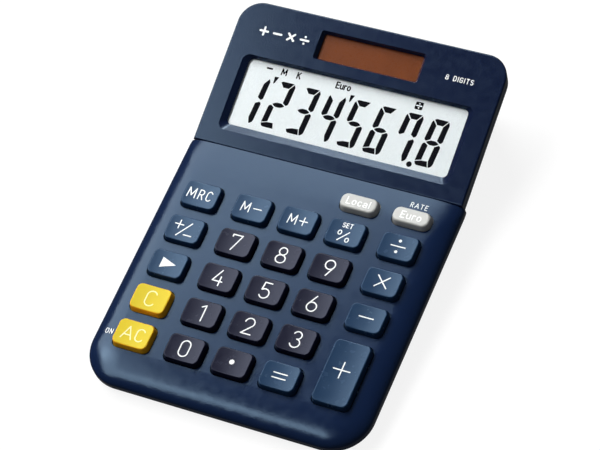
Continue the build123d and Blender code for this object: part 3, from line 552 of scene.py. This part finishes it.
# ---------------------------------------------------------------- lettering
# Strokes on a cap height of 1; each glyph is its width and its strokes.
def glyph_table():
    return {
        "0": (0.56, [arc(0.28, 0.72, 0.28, 0.28, 0, 180) + arc(0.28, 0.28, 0.28, 0.28, 180, 360)
                     + [(0.56, 0.72)]]),
        "1": (0.24, [[(0.0, 0.86), (0.24, 1.0)], [(0.24, 1.0), (0.24, 0.0)]]),
        "2": (0.58, [arc(0.29, 0.72, 0.28, 0.28, 175, -35) + [(0.0, 0.0)], [(0.0, 0.0), (0.58, 0.0)]]),
        "3": (0.56, [arc(0.27, 0.76, 0.24, 0.24, 160, -80), arc(0.27, 0.27, 0.29, 0.27, 85, -160)]),
        "4": (0.60, [[(0.38, 1.0), (0.0, 0.27)], [(0.0, 0.27), (0.60, 0.27)],
                     [(0.45, 0.58), (0.45, 0.0)]]),
        "5": (0.58, [[(0.12, 1.0), (0.54, 1.0)], [(0.12, 1.0), (0.07, 0.53)],
                     [(0.07, 0.53)] + arc(0.29, 0.30, 0.29, 0.30, 125, -150)]),
        "6": (0.58, [ring(0.29, 0.29, 0.29, 0.29), [(0.02, 0.38), (0.06, 0.47), (0.38, 1.0)]]),
        "7": (0.58, [[(0.0, 0.87), (0.0, 1.0)], [(0.0, 1.0), (0.58, 1.0)], [(0.58, 1.0), (0.18, 0.0)]]),
        "8": (0.58, [ring(0.29, 0.76, 0.235, 0.24), ring(0.29, 0.26, 0.29, 0.26)]),
        "9": (0.58, [ring(0.29, 0.71, 0.29, 0.29), [(0.56, 0.62), (0.52, 0.53), (0.26, 0.0)]]),
        "M": (0.84, [[(0.0, 0.0), (0.06, 1.0)], [(0.06, 1.0), (0.42, 0.22)], [(0.42, 0.22), (0.78, 1.0)],
                     [(0.78, 1.0), (0.84, 0.0)]]),
        "R": (0.50, [[(0.0, 0.0), (0.0, 1.0)],
                     [(0.0, 1.0), (0.22, 1.0)] + arc(0.24, 0.74, 0.24, 0.26, 90, -90) + [(0.0, 0.48)],
                     [(0.26, 0.48), (0.50, 0.0)]]),
        "C": (0.52, [arc(0.27, 0.72, 0.27, 0.28, 25, 180) + arc(0.27, 0.28, 0.27, 0.28, 180, 335)]),
        "A": (0.72, [[(0.0, 0.0), (0.36, 1.0)], [(0.36, 1.0), (0.72, 0.0)], [(0.12, 0.32), (0.60, 0.32)]]),
        "S": (0.50, [arc(0.25, 0.76, 0.24, 0.24, 30, 250) + arc(0.25, 0.26, 0.25, 0.26, 70, -150)]),
        "E": (0.46, [[(0.46, 1.0), (0.0, 1.0)], [(0.0, 1.0), (0.0, 0.0)], [(0.0, 0.0), (0.46, 0.0)],
                     [(0.0, 0.52), (0.40, 0.52)]]),
        "T": (0.52, [[(0.0, 1.0), (0.52, 1.0)], [(0.26, 1.0), (0.26, 0.0)]]),
        "O": (0.56, [arc(0.28, 0.70, 0.28, 0.30, 0, 180) + arc(0.28, 0.30, 0.28, 0.30, 180, 360)
                     + [(0.56, 0.70)]]),
        "N": (0.54, [[(0.0, 0.0), (0.0, 1.0)], [(0.0, 1.0), (0.54, 0.0)], [(0.54, 0.0), (0.54, 1.0)]]),
        "K": (0.54, [[(0.0, 0.0), (0.0, 1.0)], [(0.50, 1.0), (0.0, 0.42)], [(0.18, 0.58), (0.54, 0.0)]]),
        "D": (0.54, [[(0.0, 0.0), (0.0, 1.0)], [(0.0, 1.0), (0.22, 1.0)] + arc(0.24, 0.70, 0.30, 0.30, 90, 0)
                     + arc(0.24, 0.30, 0.30, 0.30, 0, -90) + [(0.0, 0.0)]]),
        "G": (0.54, [arc(0.27, 0.72, 0.27, 0.28, 25, 180) + arc(0.27, 0.28, 0.27, 0.28, 180, 360),
                     [(0.54, 0.28), (0.54, 0.46)], [(0.54, 0.46), (0.32, 0.46)]]),
        "I": (0.0, [[(0.0, 0.0), (0.0, 1.0)]]),
        "L": (0.44, [[(0.0, 1.0), (0.0, 0.0)], [(0.0, 0.0), (0.44, 0.0)]]),
        "o": (0.46, [ring(0.23, 0.34, 0.23, 0.34)]),
        "c": (0.42, [arc(0.23, 0.34, 0.23, 0.34, 45, 315)]),
        "a": (0.44, [[(0.03, 0.58)] + arc(0.22, 0.46, 0.22, 0.22, 140, 0) + [(0.44, 0.0)],
                     ring(0.21, 0.19, 0.21, 0.19)]),
        "l": (0.10, [[(0.05, 1.0), (0.05, 0.0)]]),
        "u": (0.44, [[(0.0, 0.68), (0.0, 0.22)] + arc(0.21, 0.21, 0.21, 0.21, 180, 360),
                     [(0.44, 0.68), (0.44, 0.0)]]),
        "r": (0.30, [[(0.0, 0.68), (0.0, 0.0)], arc(0.22, 0.42, 0.22, 0.26, 180, 70)]),
        "+": (0.84, [[(0.0, 0.5), (0.84, 0.5)], [(0.42, 0.08), (0.42, 0.92)]]),
        "-": (0.84, [[(0.0, 0.5), (0.84, 0.5)]]),
        " ": (0.30, []),
    }


GLYPHS = glyph_table()


def text_strokes(text, height, gap=0.28, widen=1.0):
    """Strokes of a line of text in metres, centred on the origin."""
    strokes, x = [], 0.0
    for letter in text:
        width, shapes = GLYPHS[letter]
        for shape in shapes:
            strokes.append([((x + px * widen) * height, (py - 0.5) * height) for px, py in shape])
        x += width * widen + gap
    middle = (x - gap) * height / 2
    return [[(px - middle, py) for px, py in stroke] for stroke in strokes]


def moved(strokes, x, y):
    return [[(px + x, py + y) for px, py in stroke] for stroke in strokes]


class Printing:
    """Ink on one surface: its middle in a plane's own axes, and the height of the surface there."""

    def __init__(self, x, y, turn, height):
        self.x = x
        self.y = y
        self.turn = turn
        self.height = height
        self.bm = bmesh.new()
        self.count = 0

    def place(self, x, y, z):
        x, y = self.x + x, self.y + y
        return self.turn @ Vector((x, y, self.height(x, y) + z))

    def top(self):
        self.count += 1
        return PRINT_PROUD + PRINT_STEP * (self.count % PRINT_LEVELS)

    def strokes(self, strokes, width):
        for stroke in strokes:
            add_stroke(self.bm, stroke, width, -PRINT_SUNK, self.top(), self.place)

    def dot(self, x, y, radius):
        outline = [Vector(p) for p in arc(x, y, radius, radius, 0, 360 - ARC_STEP)]
        add_prism(self.bm, outline, -PRINT_SUNK, self.top(), self.place)

    def plate(self, outline):
        add_prism(self.bm, [Vector(p) for p in outline], -PRINT_SUNK, self.top(), self.place)

    def finish(self, name, body, material, slot=None):
        return finish_piece(self.bm, name, body, MATERIALS[material])


# ---------------------------------------------------------------- rubber mat
# Heights are along the deck's normal. A dome's crown and its pill go down with the key; the skirt stays on the
# case.
mat_low, mat_high = extent("key_mat", deck_turn)
pills_low, pills_high = extent("contact_pills", deck_turn)
MAT_THICK = 0.5 * MM
SKIRT_R = (3.7 * MM, 2.3 * MM)          # outside, at the mat and at the crown
SKIRT_INSIDE_R = (2.84 * MM, 1.9 * MM)
SKIRT_ROOT = 0.04 * MM                  # how far the skirt reaches into the mat
SKIRT_FOOT = 0.22 * MM                  # fillet where the skirt leaves the mat
CROWN_R = 1.85 * MM
CROWN_EDGE = 0.12 * MM
PILL_R = 1.3 * MM
TURN_STEPS = 40
WELD = 0.001 * MM                       # joins the CAD mesh's faces along their shared edges
MAT_CUT = 0.002 * MM                    # the sheet is cut off this far below the mat's top
mat_top = mat_low.z + MAT_THICK


def add_turned(bm, profile, x, y):
    """A closed shape turned about the deck's normal; a profile point is a radius and a height."""
    rings = []
    for radius, height in profile:
        angles = [2 * pi * i / TURN_STEPS for i in range(TURN_STEPS if radius else 1)]
        rings.append([bm.verts.new(deck_turn @ Vector((x + radius * cos(a), y + radius * sin(a), height)))
                      for a in angles])
    for ring_a, ring_b in zip(rings, rings[1:] + rings[:1]):
        for i in range(TURN_STEPS):
            j = (i + 1) % TURN_STEPS
            if len(ring_a) > 1 and len(ring_b) > 1:
                bm.faces.new((ring_a[i], ring_a[j], ring_b[j], ring_b[i]))
            elif len(ring_b) > 1:
                bm.faces.new((ring_a[0], ring_b[j], ring_b[i]))
            elif len(ring_a) > 1:
                bm.faces.new((ring_a[i], ring_a[j], ring_b[0]))


def make_mat_sheet():
    """The flat part of the mat: the CAD mat cut off below its domes."""
    bm = bmesh.new()
    bm.from_mesh(nodes["key_mat"].data)
    bmesh.ops.remove_doubles(bm, verts=bm.verts[:], dist=WELD)
    everything = bm.verts[:] + bm.edges[:] + bm.faces[:]
    normal = deck_turn @ Vector((0.0, 0.0, 1.0))
    bmesh.ops.bisect_plane(bm, geom=everything, plane_co=normal * (mat_top - MAT_CUT), plane_no=normal,
                           clear_outer=True)
    rim = [edge for edge in bm.edges if edge.is_boundary]
    bmesh.ops.triangle_fill(bm, edges=rim, use_beauty=True, normal=normal)
    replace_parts(finish_piece(bm, "mat_sheet", "case", MATERIALS["mat_rubber"]), "key_mat")


def make_dome(key):
    """The skirt, crown and pill under one key."""
    body = key + "_body"
    low, high = extent(key, deck_turn)
    x, y = (low.x + high.x) / 2, (low.y + high.y) / 2
    roof = pills_high.z
    bm = bmesh.new()
    add_turned(bm, [(SKIRT_R[0], mat_top - SKIRT_ROOT), (SKIRT_R[0] + SKIRT_FOOT, mat_top),
                    (SKIRT_R[0], mat_top + SKIRT_FOOT / 2), (SKIRT_R[1], mat_high.z - SKIRT_FOOT),
                    (SKIRT_R[1] - SKIRT_FOOT / 2, mat_high.z), (SKIRT_INSIDE_R[1], mat_high.z),
                    (SKIRT_INSIDE_R[1], roof), (SKIRT_INSIDE_R[0], mat_top - SKIRT_ROOT)], x, y)
    skirt = finish_piece(bm, key.replace("key_", "dome_"), "case", MATERIALS["mat_rubber"])
    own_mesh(skirt)
    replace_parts(skirt, "key_mat")
    bm = bmesh.new()
    add_turned(bm, [(0.0, roof), (CROWN_R, roof), (CROWN_R, mat_high.z - CROWN_EDGE),
                    (CROWN_R - CROWN_EDGE, mat_high.z), (0.0, mat_high.z)], x, y)
    crown = finish_piece(bm, key.replace("key_", "crown_"), body, MATERIALS["mat_rubber"])
    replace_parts(crown, "key_mat")
    bm = bmesh.new()
    add_turned(bm, [(0.0, pills_low.z), (PILL_R, pills_low.z), (PILL_R, roof), (0.0, roof)], x, y)
    pill = finish_piece(bm, key.replace("key_", "pill_"), body, MATERIALS["pill_carbon"])
    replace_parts(pill, "contact_pills")


make_mat_sheet()
for joint in frame["joints"]:
    make_dome(joint["name"].replace("press_", "key_"))

# ---------------------------------------------------------------- key legends
DIGIT_HEIGHT = 5.9 * MM     # between the middles of the top and bottom strokes
DIGIT_STROKE = 0.44 * MM
LETTER_STROKE = 0.39 * MM
OPERATOR_STROKE = 0.44 * MM
PILL_KEY_STROKE = 0.45 * MM


def key_printing(node):
    """Printing on a key's face, which is dished from side to side."""
    low, high = extent(node, deck_turn)
    middle = (low + high) / 2
    return Printing(middle.x, middle.y, deck_turn, surface(node, deck_turn))


def digit(text):
    def draw(p):
        p.strokes(text_strokes(text, DIGIT_HEIGHT), DIGIT_STROKE)
    return draw


def letters(text, height, stroke, gap, widen, x=0.0, y=0.0):
    """A word x and y millimetres from the key's middle."""
    def draw(p):
        p.strokes(moved(text_strokes(text, height, gap, widen), x * MM, y * MM), stroke)
    return draw


def bar(arm, y):
    """A level stroke that reaches arm to each side of the middle."""
    return [(-arm, y), (arm, y)]


def draw_point(p):
    height, radius = 0.1 * MM, 0.9 * MM
    p.dot(0.0, height, radius)


def draw_equals(p):
    arm, rise = 2.4 * MM, 0.9 * MM
    p.strokes([bar(arm, rise), bar(arm, -rise)], OPERATOR_STROKE)


def draw_minus(p):
    arm, rise = 2.5 * MM, 0.2 * MM
    p.strokes([bar(arm, rise)], OPERATOR_STROKE)


def draw_plus(p):
    arm = 2.9 * MM
    x, y = -0.35 * MM, 0.95 * MM
    p.strokes([[(x - arm, y), (x + arm, y)], [(x, y - arm), (x, y + arm)]], OPERATOR_STROKE)


def draw_multiply(p):
    arm = 2.1 * MM
    y = 0.15 * MM
    p.strokes([[(-arm, y - arm), (arm, y + arm)], [(-arm, y + arm), (arm, y - arm)]], OPERATOR_STROKE)


def draw_divide(p):
    arm, rise, radius = 2.5 * MM, 0.15 * MM, 0.55 * MM
    p.strokes([bar(arm, rise)], OPERATOR_STROKE)
    for height in (2.3, -1.95):
        p.dot(0.0, height * MM, radius)


def draw_sign(p):
    """Plus and minus, parted by a slash."""
    width = 0.42 * MM
    p.strokes([[(-4.0 * MM, 1.35 * MM), (-0.95 * MM, 1.35 * MM)]], width)
    p.strokes([[(-2.45 * MM, 2.9 * MM), (-2.45 * MM, -0.2 * MM)]], width)
    p.strokes([[(-2.1 * MM, -3.0 * MM), (1.9 * MM, 2.6 * MM)]], width)
    p.strokes([[(0.5 * MM, -2.2 * MM), (3.3 * MM, -2.2 * MM)]], width)


def draw_backspace(p):
    p.plate([(-2.45 * MM, -2.0 * MM), (3.1 * MM, 0.0), (-2.45 * MM, 2.0 * MM)])


def draw_percent(p):
    """A percent sign, with a small SET above it."""
    width, small_width = 0.38 * MM, 0.3 * MM
    across, up = 0.6 * MM, 0.8 * MM     # radii of the rings
    p.strokes(moved(text_strokes("SET", 1.65 * MM, 0.32), -0.1 * MM, 2.85 * MM), small_width)
    p.strokes([ring(-1.85 * MM, -0.2 * MM, across, up)], width)
    p.strokes([ring(1.55 * MM, -2.5 * MM, across, up)], width)
    p.strokes([[(-1.75 * MM, -3.2 * MM), (1.45 * MM, 0.5 * MM)]], width)


LEGENDS = {f"key_{n}": digit(str(n)) for n in range(10)}
LEGENDS.update({
    "key_point": draw_point,
    "key_equals": draw_equals,
    "key_plus": draw_plus,
    "key_minus": draw_minus,
    "key_multiply": draw_multiply,
    "key_divide": draw_divide,
    "key_percent": draw_percent,
    "key_sign": draw_sign,
    "key_backspace": draw_backspace,
    "key_mrc": letters("MRC", 3.6 * MM, LETTER_STROKE, 0.36, 0.92, x=-0.5, y=0.1),
    "key_m_minus": letters("M-", 3.55 * MM, LETTER_STROKE, 0.42, 0.95, y=0.1),
    "key_m_plus": letters("M+", 3.55 * MM, LETTER_STROKE, 0.34, 0.95, y=0.1),
    "key_clear": letters("C", 5.6 * MM, DIGIT_STROKE, 0.3, 1.15),
    "key_all_clear": letters("AC", 4.6 * MM, DIGIT_STROKE, 0.28, 1.12),
    "key_local": letters("Local", 2.45 * MM, PILL_KEY_STROKE, 0.32, 1.15),
    "key_euro": letters("Euro", 2.45 * MM, PILL_KEY_STROKE, 0.34, 1.15),
})
CREAM_KEYS = ("key_clear", "key_all_clear")

for key, draw in LEGENDS.items():
    printing = key_printing(key)
    draw(printing)
    colour = "legend_cream" if key in CREAM_KEYS else "legend_white"
    printing.finish(key.replace("key_", "legend_"), key + "_body", colour)

# ---------------------------------------------------------------- prints on the case
# Middles in millimetres: across from the object's middle line, and up the slope. On the deck the slope is
# measured from the middle of key_5, and on the panel from its front edge.
RATE_AT = (36.9, 45.8)
ON_AT = (-46.2, -28.4)
OPERATORS_AT = (-31.6, 43.9)
DIGITS_AT = (34.8, 42.9)

deck_low, deck_high = extent("key_5", deck_turn)
deck_middle = (deck_low.y + deck_high.y) / 2
deck_surface = surface("upper_case", deck_turn)
panel_low, _ = extent("display_bezel", panel_turn)
panel_surface = surface("display_bezel", panel_turn)


def print_on_deck(name, x, y, strokes, width):
    """Strokes on the deck as a piece of their own."""
    printing = Printing(x * MM, deck_middle + y * MM, deck_turn, deck_surface)
    printing.strokes(strokes, width)
    printing.finish(name, "case", "legend_white")


print_on_deck("print_rate", *RATE_AT, text_strokes("RATE", 1.75 * MM, 0.42), width=0.24 * MM)
print_on_deck("print_on", *ON_AT, text_strokes("ON", 1.8 * MM, 0.4), width=0.22 * MM)


def print_on_panel(x, slope, height=panel_surface):
    """Printing on the panel, or on what lies under it at another height."""
    return Printing(x * MM, panel_low.y + slope * MM, panel_turn, height)


def draw_operators(p):
    """Four plain operator signs in a row."""
    arm, pitch, width = 1.45 * MM, 5.2 * MM, 0.75 * MM
    dot_rise, dot_radius = 1.25 * MM, 0.42 * MM
    plus, minus, times, over = [(i - 1.5) * pitch for i in range(4)]
    p.strokes([[(plus - arm, 0), (plus + arm, 0)], [(plus, -arm), (plus, arm)]], width)
    p.strokes([[(minus - arm, 0), (minus + arm, 0)]], width)
    diagonal = 0.8 * arm
    p.strokes([[(times - diagonal, -diagonal), (times + diagonal, diagonal)],
               [(times - diagonal, diagonal), (times + diagonal, -diagonal)]], width)
    p.strokes([[(over - arm, 0), (over + arm, 0)]], width)
    for side in (-1, 1):
        p.dot(over, side * dot_rise, dot_radius)


printing = print_on_panel(*OPERATORS_AT)
draw_operators(printing)
printing.finish("print_operators", "case", "legend_white")
printing = print_on_panel(*DIGITS_AT)
printing.strokes(text_strokes("8 DIGITS", 1.7 * MM, 0.42), width=0.3 * MM)
printing.finish("print_digits", "case", "legend_white")

# ---------------------------------------------------------------- display
# In millimetres. DIGIT_FOOT, SIGNS_UP and BOX_AT's second number are up the panel from its front edge.
DIGIT_PITCH = 9.66
DIGIT_LEFT = 28.3           # lower left of the last digit, across the panel
DIGIT_FOOT = 10.7
CELL_WIDTH = 6.7
CELL_HEIGHT = 17.5
BAR = 2.12                  # thickness of a digit's bars
SLANT = 0.088               # how far a digit leans to the right, as a share of its height
COMMA_SHIFT = -0.35
POINT = (27.0, -0.35, 1.0)  # the decimal point: across, above the digits' foot, radius
SIGNS_UP = 31.6
SIGN_CAP = 2.15
SIGN_STROKE = 0.48
BOX_AT = (23.5, 31.2)       # the sign in a black box
BOX_HALF = 1.4
BOX_CORNER = 0.35


def segment_outlines():
    """Outlines of the seven bars of a digit, in millimetres from its lower left."""
    w, h, t = CELL_WIDTH, CELL_HEIGHT, BAR
    mid = h / 2
    left_upper = [(0.12, h - 1.35), (0.45, h - 0.70), (t, h - t - 0.30), (t, mid + 1.15),
                  (1.45, mid + 0.75), (0.80, mid + 0.35), (0.30, mid + 0.60), (0.0, mid + 1.10)]
    right_upper = [(w - x, y) for x, y in left_upper]
    right_upper[1] = (w - 0.75, h - 0.25)
    left_lower = [(0.0, mid - 1.10), (0.30, mid - 0.60), (0.80, mid - 0.35), (1.45, mid - 0.75),
                  (t, mid - 1.15), (t, t + 0.10), (0.0, 1.55)]
    right_lower = [(w, mid - 1.10), (w - 0.30, mid - 0.60), (w - 0.80, mid - 0.35),
                   (w - 1.45, mid - 0.75), (w - t, mid - 1.15), (w - t, t), (w - 1.30, 0.05),
                   (w - 0.75, 0.15), (w - 0.2, 0.75), (w, 1.5)]
    return {
        "top": [(0.75, h - 0.40), (1.35, h), (w - 1.15, h), (w - 1.05, h - 0.12), (w - t - 0.20, h - t),
                (t + 0.15, h - t)],
        "middle": [(1.05, mid), (1.70, mid + 0.50), (2.60, mid + 0.85), (w - 2.60, mid + 0.85),
                   (w - 1.70, mid + 0.50), (w - 1.05, mid), (w - 1.70, mid - 0.50),
                   (w - 2.60, mid - 0.85), (2.60, mid - 0.85), (1.70, mid - 0.50)],
        "bottom": [(0.05, 1.25), (t, t - 0.20), (w - t - 0.28, t - 0.05), (w - 1.58, 0.0), (1.25, 0.0),
                   (0.55, 0.30)],
        "left_upper": left_upper,
        "right_upper": right_upper,
        "left_lower": left_lower,
        "right_lower": right_lower,
    }


LIT_BARS = {
    "1": ("right_upper", "right_lower"),
    "2": ("top", "right_upper", "middle", "left_lower", "bottom"),
    "3": ("top", "right_upper", "middle", "right_lower", "bottom"),
    "4": ("left_upper", "middle", "right_upper", "right_lower"),
    "5": ("top", "left_upper", "middle", "right_lower", "bottom"),
    "6": ("top", "left_upper", "middle", "left_lower", "right_lower", "bottom"),
    "7": ("left_upper", "top", "right_upper", "right_lower"),
    "8": ("top", "middle", "bottom", "left_upper", "right_upper", "left_lower", "right_lower"),
}
SHOWN = "12345678"
COMMA_AFTER = (0, 3)


def slanted(outline, x):
    return [((x + px + SLANT * py) * MM, py * MM) for px, py in outline]


_, film_high = extent("lcd_front_polariser", panel_turn)


def on_film(x, y):
    return film_high.z


def on_box(x, y):
    return film_high.z + PRINT_PROUD


printing = print_on_panel(0.0, DIGIT_FOOT, on_film)
bars = segment_outlines()
comma = [(-2.05, 18.55), (-0.45, 18.65), (-1.15, 16.2), (-1.60, 15.9)]
for index, figure in enumerate(SHOWN):
    left = DIGIT_LEFT + (index - len(SHOWN) + 1) * DIGIT_PITCH
    for lit in LIT_BARS[figure]:
        printing.plate(slanted(bars[lit], left))
    if index in COMMA_AFTER:
        printing.plate([((left + DIGIT_PITCH + px + SLANT * py + COMMA_SHIFT) * MM, py * MM)
                        for px, py in comma])
printing.dot(*(size * MM for size in POINT))
printing.finish("lcd_figures", "case", "segment_black")


def draw_signs(p):
    """The small signs above the figures."""
    p.strokes([[(-34.2 * MM, 0.1 * MM), (-32.4 * MM, 0.1 * MM)]], width=0.65 * MM)
    for text, x, gap in (("M", -27.6, 0.3), ("K", -22.0, 0.3), ("Euro", -5.0, 0.26)):
        p.strokes(moved(text_strokes(text, SIGN_CAP * MM, gap), x * MM, 0.0), SIGN_STROKE * MM)


printing = print_on_panel(0.0, SIGNS_UP, on_film)
draw_signs(printing)
printing.finish("lcd_signs", "case", "segment_black")


def rounded_square(x, y, half, corner):
    outline = []
    for quarter, (sx, sy) in enumerate(((1, 1), (-1, 1), (-1, -1), (1, -1))):
        cx, cy = x + sx * (half - corner), y + sy * (half - corner)
        outline += arc(cx, cy, corner, corner, 90 * quarter, 90 * quarter + 90)
    return outline


printing = print_on_panel(*BOX_AT, on_film)
printing.plate(rounded_square(0.0, 0.0, BOX_HALF * MM, BOX_CORNER * MM))
printing.finish("lcd_box_sign", "case", "segment_black")
printing = print_on_panel(*BOX_AT, on_box)
printing.strokes([bar(0.95 * MM, 0.0)], width=0.4 * MM)
for side in (-1, 1):
    printing.dot(0.0, side * 0.75 * MM, radius=0.27 * MM)
printing.finish("lcd_box_divide", "case", "polariser", slot="polariser")
